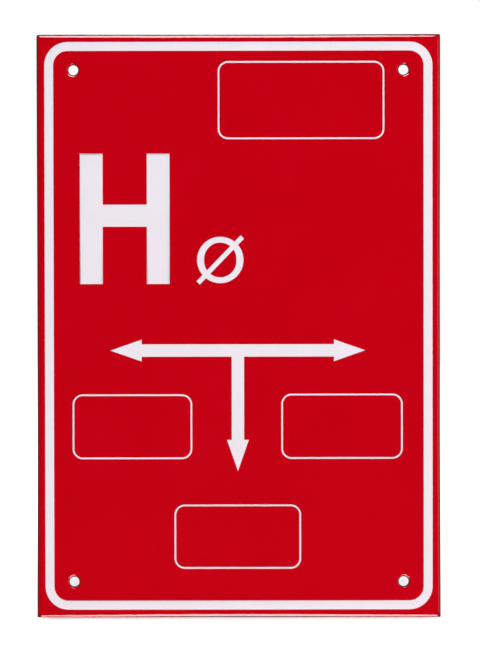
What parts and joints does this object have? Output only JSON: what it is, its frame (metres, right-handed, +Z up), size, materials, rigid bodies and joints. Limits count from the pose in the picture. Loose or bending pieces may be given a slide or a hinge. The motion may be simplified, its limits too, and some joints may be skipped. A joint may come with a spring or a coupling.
{
  "type": "fire hydrant marker plate",
  "caption": "Upright enamelled steel plate with a folded rim, corner fixing holes, a raised white border, block letter, diameter sign, direction arrows and blank value frames.",
  "frame": {"origin": "centre of the pattern of four fixing holes, on the plane of the red face", "axes": "+X to the right as the plate is read, +Z up the plate, +Y from the face to the wall behind it"},
  "size_m": [0.1392, 0.0051, 0.2012],
  "materials": {
    "red_enamel": "gloss",
    "white_enamel": "gloss",
    "ground_coat": "gloss"
  },
  "bodies": {
    "root": {"plate": "red_enamel"}
  },
  "joints": []
}
